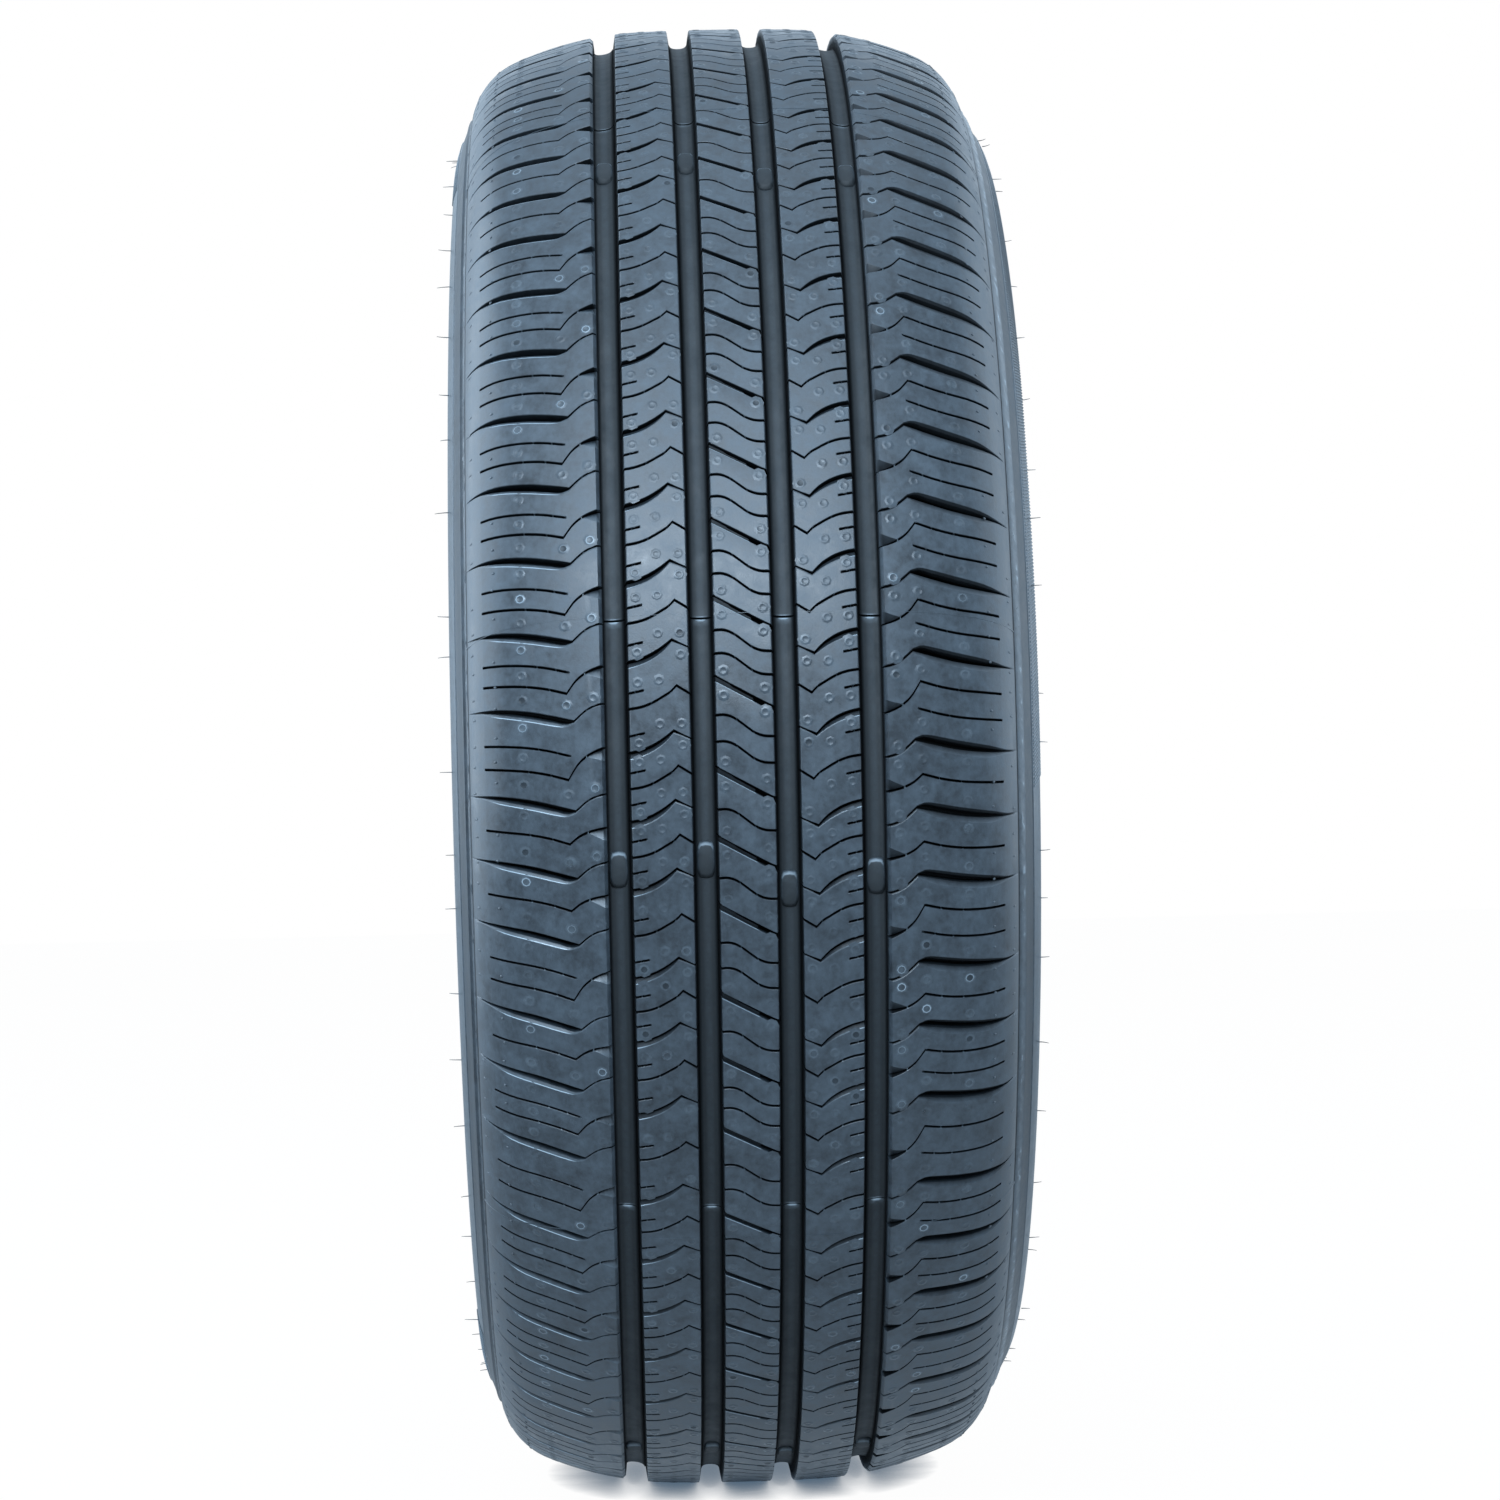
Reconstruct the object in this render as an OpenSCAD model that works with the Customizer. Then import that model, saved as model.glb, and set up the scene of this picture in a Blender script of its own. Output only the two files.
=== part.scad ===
// Passenger car tyre, 235/45 R18, moulded in one piece.
// The axle runs along Y through the origin, +Z is up, and the tread's foot is pressed flat where it stands.

/* [Tyre] */
// Bore through the beads, where they sit on the rim
seat_d = 461; // [456:0.5:464]
// Height of the tyre from the bead seat to the crown
section_h = 104; // [98:1:112]
// Widest distance across the sidewalls
section_w = 234; // [228:1:240]
// Height of the widest place above the bead seat
widest_h = 45.5; // [42:0.5:50]
// Height of the rim guard above the bead seat
guard_h = 22; // [19:0.5:25]
// Distance between the outer faces of the beads
rim_w = 203; // [196:1:208]
// Width of one bead along the axle
bead_w = 20; // [16:1:24]
// How far the foot of the standing tyre is pressed in
foot_flat = 1.9; // [1.5:0.1:2.5]

/* [Crown] */
// Distance between the two shoulder ridges
tread_w = 217; // [210:1:220]
// Half width of the flattest part of the crown
crown_half = 32; // [26:1:38]
// Radius of the flattest part of the crown, across the tread
crown_r = 1100; // [800:50:1400]
// Width of the rounded shoulder inside each ridge
corner_w = 18.5; // [15:0.5:22]
// Radius of the outer ribs, across the tread
side_r = 160; // [150:5:220]
// Slope of the shoulder at its ridge, in degrees
ridge_slope = 72; // [62:1:78]
// Height of the step under the shoulder ridge
ridge_step = 1.3; // [0.6:0.1:2]
// Thickness of the crown from the tread to the liner
crown_t = 15; // [13:0.5:18]
// Thickness of the shoulder along the axle, from its ridge to the liner
shoulder_t = 16; // [13:0.5:18]
// Thickness of the sidewall where it is widest
side_t = 7.5; // [6:0.5:9]

/* [Straight grooves] */
// Depth of the four straight grooves
groove_depth = 8; // [7:0.1:9]
// Distance from the centre to the middle of an inner groove
inner_x = 16.2; // [15:0.1:18]
// Width of an inner groove
inner_w = 10.3; // [8:0.1:12]
// Distance from the centre to the middle of an outer groove
outer_x = 50.2; // [48:0.1:52]
// Width of an outer groove
outer_w = 11.1; // [9:0.1:13]
// Lean of each groove wall, in degrees
wall_lean = 9; // [5:0.5:14]
// Height of the tread wear bars above the groove floor
bar_h = 1.6; // [1.2:0.1:2]
// Length of a tread wear bar round the tyre
bar_l = 12; // [8:0.5:16]
// Number of places round the tyre with wear bars
bar_sets = 6; // [4:1:8]

/* [Pitches] */
// Length of a short pitch round the tread
short_pitch = 27; // [25:0.1:28]
// Length of a medium pitch
medium_pitch = 31.8; // [30:0.1:33]
// Length of a long pitch
long_pitch = 35.7; // [34:0.1:38]
// Length of the longest pitch
longest_pitch = 41.6; // [39:0.1:44]

/* [Cross grooves] */
// Depth of the cross grooves
cross_depth = 6.5; // [5:0.1:7]
// Width of the cross groove in a shoulder
shoulder_w = 3.3; // [2:0.1:4]
// Width of the cross groove in the second and fourth ribs
rib_w = 2.3; // [1.4:0.1:3]
// Width of the slanting groove in the middle rib
middle_w = 2.3; // [1.4:0.1:3]
// Width of the sipe that a cross groove ends in
sipe_w = 0.8; // [0.6:0.1:1.2]

/* [Hidden] */
$fn = 180;
seat_r = seat_d / 2;
outer_r = seat_r + section_h;
widest_r = seat_r + widest_h;
half_w = section_w / 2;
edge_x = tread_w / 2;
side_half = edge_x - corner_w;

// Slope of the tread where its arcs meet, and the centres of the arcs as [radius, distance across]
crown_slope = asin(crown_half / crown_r);
side_slope = asin(sin(crown_slope) + (side_half - crown_half) / side_r);
corner_r = (edge_x - side_half) / (sin(ridge_slope) - sin(side_slope));
crown_c = [outer_r - crown_r, 0];
side_c = crown_c + (crown_r - side_r) * [cos(crown_slope), sin(crown_slope)];
corner_c = side_c + (side_r - corner_r) * [cos(side_slope), sin(side_slope)];
ridge_r = corner_c[0] + corner_r * cos(ridge_slope);

// Bead, rim guard and the curves of the sidewall
heel_r = 4;
toe_cut = 1.5;
guard_r = seat_r + guard_h;
guard_x = half_w - 1.4;
bead_x = rim_w / 2;
bead_in = bead_x - bead_w;
curve_steps = 8;

// Liner: its radius under the crown, its distance across at the sidewall,
// and the place and the slope where the two meet
crown_in = outer_r - crown_t;
wall_in = half_w - side_t;
bend = [ridge_r, edge_x - shoulder_t];
bend_slope = 57;
bend_way = [-cos(bend_slope), sin(bend_slope)];

// Heights that the curves of the sidewall lean by
over_widest = ridge_r - widest_r;
under_widest = widest_r - guard_r;

// Fillet at the foot of a straight groove
foot = 1.3;

// Edges of the ribs, left of the centre
rib_in = inner_x + inner_w / 2;
rib_out = outer_x - outer_w / 2;
shoulder_in = outer_x + outer_w / 2;
middle_in = inner_x - inner_w / 2;

// How far cuts stand clear of what they cut
over = 2;

// Order of the pitches round the tyre: short, medium, long and longest
pitch_order = "MSSSMMMMMMMLSSLSMXMMMLLMMSMSSMMMLMXLSMMSSMMLSMMSMMLSMSMXMMSSLMMSMLM";

// Angle of the first pitch, which the rows of the tread are counted from
first_angle = -65.2;

// How far round the tread each row stands from the second rib, as a length on the crown
left_shift = 30.8;
middle_shift = 16;
fourth_shift = 39;
right_shift = 6;

// Angles of the first two places with wear bars; the others share the rest of the tyre evenly
bar_first = -49;
bar_second = 7.3;

function pitch_of(letter) =
  letter == "S" ? short_pitch : letter == "M" ? medium_pitch : letter == "L" ? long_pitch : longest_pitch;

// Each pitch as its start and its length
pitch_rows = [
  for (i = 0, at = 0; i < len(pitch_order); at = at + pitch_of(pitch_order[i]), i = i + 1)
    [at, pitch_of(pitch_order[i])]
];
tread_total = pitch_rows[len(pitch_rows) - 1][0] + pitch_rows[len(pitch_rows) - 1][1];

// Angle of a place that lies a length round the tread from the start of a pitch
function angle_at(pitch, along) = first_angle + 360 * (pitch[0] + along) / tread_total;

// Angle of one place with wear bars
function bar_angle(i) =
  i == 0 ? bar_first : bar_second + (i - 1) * (360 + bar_first - bar_second) / (bar_sets - 1);

// Radius of the tread at a distance from the centre
function tread_r(x) =
  x < crown_half ? crown_c[0] + sqrt(pow(crown_r, 2) - pow(x - crown_c[1], 2))
  : x < side_half ? side_c[0] + sqrt(pow(side_r, 2) - pow(x - side_c[1], 2))
  : corner_c[0] + sqrt(pow(corner_r, 2) - pow(x - corner_c[1], 2));

// Points on a curve that starts at p[0], ends at p[3] and leans towards p[1] and p[2]
function curve(p) = [
  for (i = [0:curve_steps])
    let (t = i / curve_steps, s = 1 - t)
      pow(s, 3) * p[0] + 3 * s * s * t * p[1] + 3 * s * t * t * p[2] + pow(t, 3) * p[3]
];

// Points on an arc of the tread, between two slopes
function arc_points(centre, r, from, to, steps) = [
  for (i = [0:steps]) centre + r * [cos(from + (to - from) * i / steps), sin(from + (to - from) * i / steps)]
];

// Quarter round of the bead's heel
function heel() = [
  for (i = [0:3]) [seat_r + heel_r * (1 - sin(30 * i)), bead_x - heel_r * (1 - cos(30 * i))]
];

// Closed outline of a cut in plan, whose path runs through
// [share of the rib's width, length round the tread, width of the cut]
function band(x0, x1, path) = concat(
  [for (p = path) [x0 + (x1 - x0) * p[0], p[1] - p[2] / 2]],
  [for (i = [len(path) - 1:-1:0]) [x0 + (x1 - x0) * path[i][0], path[i][1] + path[i][2] / 2]]
);

// Tread and shoulder of one half of the section, above the shoulder ridge
module tread_half() {
  polygon(concat(
    [[ridge_r, 0]],
    arc_points(crown_c, crown_r, 0, crown_slope, 2),
    arc_points(side_c, side_r, crown_slope, side_slope, 4),
    arc_points(corner_c, corner_r, side_slope, ridge_slope, 5)
  ));
}

// Sidewall and bead of one half of the section, filled in to the middle
module side_half_section() {
  polygon(concat(
    [[seat_r, 0], [ridge_r, 0], [ridge_r, edge_x]],
    curve([[ridge_r - ridge_step / 2, edge_x - ridge_step],
           [ridge_r - 0.36 * over_widest, edge_x + 0.45 * (half_w - edge_x)],
           [widest_r + 0.32 * over_widest, half_w], [widest_r, half_w]]),
    curve([[widest_r, half_w], [widest_r - 0.3 * under_widest, half_w],
           [guard_r + 0.4 * under_widest, guard_x], [guard_r + 3.5, guard_x - 2]]),
    [[guard_r + 1.5, guard_x], [guard_r - 1.5, guard_x], [guard_r - 3, guard_x - 1.2],
     [seat_r + 14, bead_x + 4.5], [seat_r + 10.5, bead_x + 1.2], [seat_r + 8, bead_x]],
    heel()
  ));
}

// Hollow of one half of the section, inside the liner and the bead's toe
module hollow_half() {
  polygon(concat(
    [[seat_r - over, 0]],
    curve([[crown_in, 0], [crown_in, 0.35 * bend[1]], bend - 0.3 * bend[1] * bend_way, bend]),
    curve([bend, bend + 0.6 * (wall_in - bend[1]) * bend_way, [widest_r + 0.4 * over_widest, wall_in],
           [widest_r, wall_in]]),
    curve([[widest_r, wall_in], [widest_r - 0.35 * widest_h, wall_in],
           [seat_r + 0.35 * widest_h, bead_in + 8], [seat_r + toe_cut, bead_in]]),
    [[seat_r, bead_in + toe_cut], [seat_r - over, bead_in + toe_cut]]
  ));
}

// Section of a straight groove, open towards the road
module groove_section(x, w) {
  top = tread_r(x);
  lean = tan(wall_lean);
  floor_r = top - groove_depth;
  floor_half = w / 2 - groove_depth * lean;
  top_half = w / 2 + (outer_r + over - top) * lean;
  polygon([[outer_r + over, x - top_half], [floor_r + foot, x - floor_half - foot * lean],
           [floor_r, x - floor_half + foot], [floor_r, x + floor_half - foot],
           [floor_r + foot, x + floor_half + foot * lean], [outer_r + over, x + top_half]]);
}

// Whole section of the tyre, radius along X and distance across along Y
module section() {
  difference() {
    for (side = [0, 1]) mirror([0, side]) union() {
      tread_half();
      side_half_section();
    }
    for (side = [0, 1]) mirror([0, side]) {
      hollow_half();
      groove_section(inner_x, inner_w);
      groove_section(outer_x, outer_w);
    }
  }
}

// A place on the tread: what stands there points outward along X,
// and is turned half a turn on the right half
module on_tread(angle, turned = false) {
  rotate(angle) rotate([turned ? 180 : 0, 0, 0]) children();
}

// A cut straight in from the tread: the outline runs across the tread along X and round it along Y
module cut_in(floor_r) {
  rotate([90, 0, 90]) translate([0, 0, floor_r])
    linear_extrude(outer_r + over - floor_r) mirror([1, -1]) children();
}

// A cut in the left shoulder, whose floor follows the rounding of the shoulder
module shoulder_cut(depth) {
  xs = [shoulder_in - 4, side_half - 6, edge_x - 6, edge_x + 3];
  floors = [tread_r(shoulder_in) - depth, tread_r(side_half - 6) - depth, tread_r(edge_x - 6) - depth * 0.6,
            ridge_r];
  intersection() {
    cut_in(ridge_r - over) children();
    rotate([90, 0, 0]) linear_extrude(2 * longest_pitch, center = true) polygon(concat(
      [for (i = [0:3]) [floors[i], -xs[i]]],
      [[outer_r + 2 * over, -xs[3]], [outer_r + 2 * over, -xs[0]]]
    ));
  }
}

// Wide cross groove of a shoulder, with the sipe that leads on to the straight groove
module shoulder_groove() {
  shoulder_cut(cross_depth) polygon(band(-shoulder_in, -edge_x, [
    [-0.05, -6.4, sipe_w], [0.12, -3.2, sipe_w], [0.215, 0.3, 0.5 * shoulder_w],
    [0.36, -0.7, 0.85 * shoulder_w], [0.6, -3.2, shoulder_w], [1.03, -3.5, shoulder_w]
  ]));
}

// Cross groove of the second rib, with its peak near the inner edge and a sipe beyond it
module rib_groove() {
  cut_in(tread_r(rib_out) - cross_depth) polygon(band(-rib_out, -rib_in, [
    [-0.08, 9.9, rib_w], [0.37, 6.5, rib_w], [0.72, 0.7, 0.7 * rib_w], [1.08, 4.2, sipe_w]
  ]));
}

// Slanting groove of the middle rib
module middle_groove() {
  cut_in(outer_r - cross_depth) polygon(band(-middle_in, middle_in, [
    [-0.08, -1, middle_w], [1.08, 13.1, middle_w]
  ]));
}

// One shoulder
module shoulder_row(turned, shift) {
  for (p = pitch_rows) on_tread(angle_at(p, shift), turned) shoulder_groove();
}

// The second or fourth rib
module rib_row(turned, shift) {
  for (p = pitch_rows) on_tread(angle_at(p, shift), turned) rib_groove();
}

// The middle rib
module middle_row() {
  for (p = pitch_rows) on_tread(angle_at(p, middle_shift)) middle_groove();
}

// Bars on the floors of the straight grooves, which show when the tread is worn out
module wear_bars() {
  rows = [[-outer_x, outer_w, 0], [-inner_x, inner_w, -0.5], [inner_x, inner_w, 1.8], [outer_x, outer_w, 1]];
  for (i = [0:bar_sets - 1], row = rows) {
    floor_r = tread_r(abs(row[0])) - groove_depth;
    bar_w = row[1] - 2 * (groove_depth * tan(wall_lean) + 0.3);
    on_tread(bar_angle(i) + row[2]) rotate([90, 0, 90]) translate([0, row[0], floor_r - 1])
      linear_extrude(1 + bar_h) intersection() {
        square([bar_l, bar_w], center = true);
        circle(d = bar_l * 1.02);
      }
  }
}

// The tyre, with its axle along Z
module tyre_about_z() {
  difference() {
    union() {
      rotate_extrude() section();
      wear_bars();
    }
    shoulder_row(false, left_shift);
    rib_row(false, 0);
    middle_row();
    rib_row(true, fourth_shift);
    shoulder_row(true, right_shift);
  }
}

// The tyre as it stands, pressed flat at its foot
module tyre() {
  color("#34393e") difference() {
    rotate([-90, 0, 0]) tyre_about_z();
    translate([-half_w, -half_w, -outer_r - over]) cube([section_w, section_w, over + foot_flat]);
  }
}

tyre();
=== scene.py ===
import math

import bpy
import numpy as np
from mathutils import Matrix, Vector


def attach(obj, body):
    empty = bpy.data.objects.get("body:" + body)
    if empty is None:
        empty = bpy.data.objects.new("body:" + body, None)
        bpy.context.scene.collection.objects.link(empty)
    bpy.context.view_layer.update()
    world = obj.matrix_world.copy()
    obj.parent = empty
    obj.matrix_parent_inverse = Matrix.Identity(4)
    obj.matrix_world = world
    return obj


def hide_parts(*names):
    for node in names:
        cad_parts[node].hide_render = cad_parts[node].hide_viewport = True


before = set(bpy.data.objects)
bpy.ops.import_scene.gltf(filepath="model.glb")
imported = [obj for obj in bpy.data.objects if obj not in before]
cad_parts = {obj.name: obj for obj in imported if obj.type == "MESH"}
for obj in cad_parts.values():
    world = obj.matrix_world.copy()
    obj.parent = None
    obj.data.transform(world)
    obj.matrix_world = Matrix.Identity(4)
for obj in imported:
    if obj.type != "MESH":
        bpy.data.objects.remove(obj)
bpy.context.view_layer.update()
print("frame loaded")

# The tyre's axle runs along Y through the origin. v is the distance from the centre of the tread along the
# axle, and s a length round the tread that grows downward on the side that faces the camera. Both are in
# millimetres. A side is -1 for the left of the photograph and 1 for the right.
mm = 0.001
tyreSpec = {
    "outerR": 334.5, "flatHalf": 32.0, "flatR": 1100.0, "sideHalf": 90.0, "sideR": 160.0, "ridgeSlope": 72.0,
    "ridgeV": 108.5, "halfW": 117.0, "widestR": 276.0, "seatR": 230.5, "guardR": 252.5, "beadV": 101.5,
    "beadW": 20.0, "sideT": 7.5, "crownT": 15.0, "shoulderT": 16.0, "linerSlope": 57.0, "footFlat": 1.9,
    "firstAngle": 65.2,
    "order": "MSSSMMMMMMMLSSLSMXMMMLLMMSMSSMMMLMXLSMMSSMMLSMMSMMLSMSMXMMSSLMMSMLM",
    "lengths": {"S": 27.0, "M": 31.8, "L": 35.7, "X": 41.6},
}
kinds = "SMLX"  # short, medium, long and longest pitch
pitchKind = np.array([kinds.index(c) for c in tyreSpec["order"]])
pitchLength = np.array([tyreSpec["lengths"][c] for c in tyreSpec["order"]])
pitchStart = np.concatenate([[0.0], np.cumsum(pitchLength)[:-1]])
treadTotal = float(pitchLength.sum())
footZ = tyreSpec["footFlat"] - tyreSpec["outerR"]


# Direction of a slope in degrees, as its cosine and sine.
def toward(slope):
    return np.array([math.cos(math.radians(slope)), math.sin(math.radians(slope))])


# Slopes where the crown's arcs meet, and the arcs' centres as a radius and a distance.
ridgeWay = toward(tyreSpec["ridgeSlope"])
flatSlope = math.asin(tyreSpec["flatHalf"] / tyreSpec["flatR"])
sideSlope = math.asin(math.sin(flatSlope) + (tyreSpec["sideHalf"] - tyreSpec["flatHalf"]) / tyreSpec["sideR"])
cornerR = (tyreSpec["ridgeV"] - tyreSpec["sideHalf"]) / (ridgeWay[1] - math.sin(sideSlope))
flatC = np.array([tyreSpec["outerR"] - tyreSpec["flatR"], 0.0])
sideC = flatC + (tyreSpec["flatR"] - tyreSpec["sideR"]) * toward(math.degrees(flatSlope))
cornerC = sideC + (tyreSpec["sideR"] - cornerR) * toward(math.degrees(sideSlope))
ridgeR = float(cornerC[0] + cornerR * ridgeWay[0])


# Radius of the crown at a distance v: three arcs that meet in tangents, each its centre's radius plus the
# root of the arc's radius squared less the distance from its centre squared.
def crownRadius(v):
    v = np.minimum(np.abs(v), tyreSpec["ridgeV"])
    flat = flatC[0] + np.sqrt(tyreSpec["flatR"] ** 2 - np.minimum(v, tyreSpec["flatHalf"]) ** 2)
    side = sideC[0] + np.sqrt(np.maximum(tyreSpec["sideR"] ** 2 - (v - sideC[1]) ** 2, 0))
    corner = cornerC[0] + np.sqrt(np.maximum(cornerR ** 2 - (v - cornerC[1]) ** 2, 0))
    return np.where(v < tyreSpec["flatHalf"], flat, np.where(v < tyreSpec["sideHalf"], side, corner))


# Angle above the camera's side of a length s round the tread, as the first angle less s in turns of the whole
# tread.
def angleOf(s):
    return math.radians(tyreSpec["firstAngle"]) - s * (2 * math.pi / treadTotal)


# Places in metres for a radius, a distance across and an angle: the radius times the angle's cosine, the
# distance, and the radius times the angle's sine, which goes no lower than the foot, pressed flat where the
# tyre stands.
def placed(radius, across, angle):
    radius, across, angle = np.broadcast_arrays(radius, across, angle)
    return mm * np.stack([radius * np.cos(angle), across, np.maximum(radius * np.sin(angle), footZ)], -1)


# Value at v of the straight lines between points.
def along(v, points):
    return np.interp(v, *zip(*points))


# Curve through each part's points: a cubic between neighbours whose slopes come from the points on both
# sides, with a free corner where one part ends and the next begins.
def through(x, parts):
    result = np.zeros_like(x)
    for points in parts:
        p = np.array(points, float)
        step = np.diff(p[:, 0])
        slope = np.diff(p[:, 1]) / step
        mid = (slope[:-1] * step[1:] + slope[1:] * step[:-1]) / (step[1:] + step[:-1])
        tangent = np.concatenate([[slope[0]], mid, [slope[-1]]])
        inside = np.clip(x, p[0, 0], p[-1, 0])
        k = np.clip(np.searchsorted(p[:, 0], inside, side="right") - 1, 0, len(step) - 1)
        t = (inside - p[k, 0]) / step[k]
        value = (p[k, 1] * (2 * t ** 3 - 3 * t ** 2 + 1) + tangent[k] * step[k] * (t ** 3 - 2 * t ** 2 + t)
                 + p[k + 1, 1] * (3 * t ** 2 - 2 * t ** 3) + tangent[k + 1] * step[k] * (t ** 3 - t ** 2))
        reach = (x >= p[0, 0]) & (x <= p[-1, 0])
        outside = (x < p[0, 0]) & (points is parts[0]) | (x > p[-1, 0]) & (points is parts[-1])
        result = np.where(reach | outside, value, result)
    return result


# Points on a curve that starts and ends at its first and last points and leans towards the two between: each
# point counts by its share of (1 - t + t) cubed.
def curve(points, steps):
    p = np.array(points, float)
    t = np.linspace(0, 1, steps + 1)[:, None]
    return (1 - t) ** 3 * p[0] + 3 * (1 - t) ** 2 * t * p[1] + 3 * (1 - t) * t ** 2 * p[2] + t ** 3 * p[3]


# Mesh of points, quads and any triangles, smooth up to a sharp angle. Its faces are turned outward, by the
# sign of the volume that they close, which is the sum of each face's corners as a triple product.
def builtMesh(name, points, quads, sharp, triangles=np.zeros((0, 3), int)):
    a, b, c, d = (points[quads[:, i]] for i in range(4))
    volume = np.einsum("ij,ij->", a, np.cross(b, c)) + np.einsum("ij,ij->", a, np.cross(c, d))
    faces = quads.tolist() + triangles.tolist()
    if volume < 0:
        faces = [face[::-1] for face in faces]
    mesh = bpy.data.meshes.new(name)
    mesh.from_pydata(points.tolist(), [], faces)
    mesh.polygons.foreach_set("use_smooth", np.ones(len(faces), bool))
    mesh.set_sharp_from_angle(angle=math.radians(sharp))
    piece = bpy.data.objects.new(name, mesh)
    bpy.context.scene.collection.objects.link(piece)
    return piece


# Mesh of a grid that closes on itself both ways: each point joins the next in its row and in its column.
def closedGrid(name, points, sharp=28):
    index = np.arange(points[:, :, 0].size).reshape(points.shape[:2])
    down = np.roll(index, -1, 0)
    quads = np.stack([index, down, np.roll(down, -1, 1), np.roll(index, -1, 1)], -1)
    return builtMesh(name, points.reshape(-1, 3), quads.reshape(-1, 4), sharp)


# Quads of closed tubes: the last axes of the points are a tube's rings, the sides of a ring and the
# coordinates. Each ring joins the next, and a fan of quads closes both end rings where their sides are an
# even number.
def tubeQuads(points):
    rings, sides = points.shape[-3:-1]
    cells = np.arange(rings * sides).reshape(rings, sides)
    onward = np.roll(cells, -1, 1)
    wall = np.stack([cells[:-1], onward[:-1], onward[1:], cells[1:]], -1).reshape(-1, 4)
    fan = np.arange(1, sides - 2, 2)
    cap = np.stack([0 * fan, fan + 2, fan + 1, fan], -1)
    tube = np.concatenate([wall, cap, cap[:, ::-1] + cells[-1, 0]])
    starts = np.arange(0, points.size // 3, rings * sides)
    return (tube + starts[:, None, None]).reshape(-1, 4)


# Keeps a painted shade for each point of a piece, for its material to read: one is black painted shade, zero
# plain, minus one a pale painted highlight, and from there to minus two it goes over into a painted glint.
def shaded(piece, values):
    shade = piece.data.attributes.new("shade", "FLOAT", "POINT")
    shade.data.foreach_set("value", values.astype(np.float32).ravel())
    return piece


# Thin cuts: a cut has its own half width at the mouth, its floor starts a lean further in, and its lips end
# an edge further out. A cut's painted shade starts at a plain depth, and its lips get a share of it. A bridge
# is a web that fills a cut but for a small share of its depth, and it gets a painted highlight, a pale speck.
cutSpec = {
    "lean": 0.12, "edge": 0.22, "lip": 0.2, "lipShade": 0.9, "plainDepth": 0.6,
    "bridgeHalf": 0.5, "bridgeReach": 0.2, "bridgeClear": 0.35, "bridgeShare": 0.1, "bridgeDepth": (0.4, 0.6),
    "bridgeHighlight": -1.2,
}


# Columns of a rib: its own places, with three more at each bridge so that it can stand up in its sipe.
def withBridges(columns, bridges):
    half = cutSpec["bridgeHalf"]
    added = [b + e for b in bridges for e in (-half, 0.0, half)]
    kept = [x for x in columns if min(abs(x - a) for a in added) > cutSpec["bridgeClear"]]
    return np.array(sorted(kept + added))


# Depth of a cut at v by the lines between its points, cut down to a small share on each bridge.
def bridgedDepth(v, points, bridges):
    depth = along(v, points)
    for b in bridges:
        depth = np.where(np.abs(v - b) < cutSpec["bridgeReach"], cutSpec["bridgeShare"] * depth, depth)
    return depth


# A thin cut as lines round the tread, each with its place, depth and painted shade: the middle plus or minus
# the half width, and the same with the lean taken off or the edge added. The painted shade darkens with the
# depth, and a bridge gets a pale painted highlight instead.
def cutLines(middle, half, depth):
    lean, edge, none = cutSpec["lean"], cutSpec["edge"], 0 * depth
    low, high = cutSpec["bridgeDepth"]
    onBridge = (depth > low) & (depth < high)
    dark = np.clip(depth - cutSpec["plainDepth"], 0, 1) + cutSpec["bridgeHighlight"] * onBridge
    lip, lipPaintedShade = np.minimum(cutSpec["lip"], depth), cutSpec["lipShade"] * dark
    upper, lower = middle - half, middle + half
    return [
        (upper - edge, none, none), (upper, lip, lipPaintedShade), (upper + lean, depth, dark),
        (lower - lean, depth, dark), (lower, lip, lipPaintedShade), (lower + edge, none, none),
    ]


# A whole rib as a ring: the lines of its cuts in each kind of pitch are repeated round the tread, and its
# columns run over the top and down both walls to a hidden foot. A point's radius is the crown's less its
# depth, the larger of the cut's and the column's own. At a ridge the first columns past the top have drops
# below it. The rib on the right is the left one turned half a turn, so its lines run the other way, and that
# in the middle is on side 0.
def buildRib(name, spec, side, featuresOf):
    top = withBridges(spec["columns"], sum((spec[key] for key in spec if key.endswith("Bridges")), []))
    columns = np.array(spec["innerWall"] + [[x, 0] for x in top] + spec["outerWall"], float)
    v, sink = columns.T
    feature = np.clip(v, spec["innerEdge"], spec["outerEdge"])
    blocks = []
    for kind in kinds:
        lines = []
        for anchor, cut in featuresOf(feature, kind, side):
            cut = cut if side <= 0 else [(-y, d, shade) for y, d, shade in cut[::-1]]
            lines += [(anchor * tyreSpec["lengths"][kind] + y, d, shade + 0 * y) for y, d, shade in cut]
        blocks.append(lines)
    place, cutDepth, cutShade = np.moveaxis(np.array(blocks)[pitchKind], 2, 0)
    s = (pitchStart[:, None, None] + spec["shift"][side] + place).reshape(-1, len(v))
    # Painted shade: walls darken with their sink up to black, and past a ridge the last top column and the
    # walls below it are black, a painted shadow line along the ridge; elsewhere the cut lines' own painted
    # shade and highlight hold.
    wall = np.clip(sink / spec["wallFade"], 0, 1)
    radius = crownRadius(v) - np.maximum(cutDepth.reshape(-1, len(v)), sink)
    if "ridgeDrops" in spec:
        first = len(spec["innerWall"]) + len(top)
        wall[first - 1:] = 1
        radius[:, first:first + len(spec["ridgeDrops"])] = ridgeR - np.array(spec["ridgeDrops"])
    shade = cutShade.reshape(-1, len(v)) * (wall < 0.2) + wall
    across = side * v if side else v
    return shaded(closedGrid(name, placed(radius, across, angleOf(s)), 12), shade)


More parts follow.
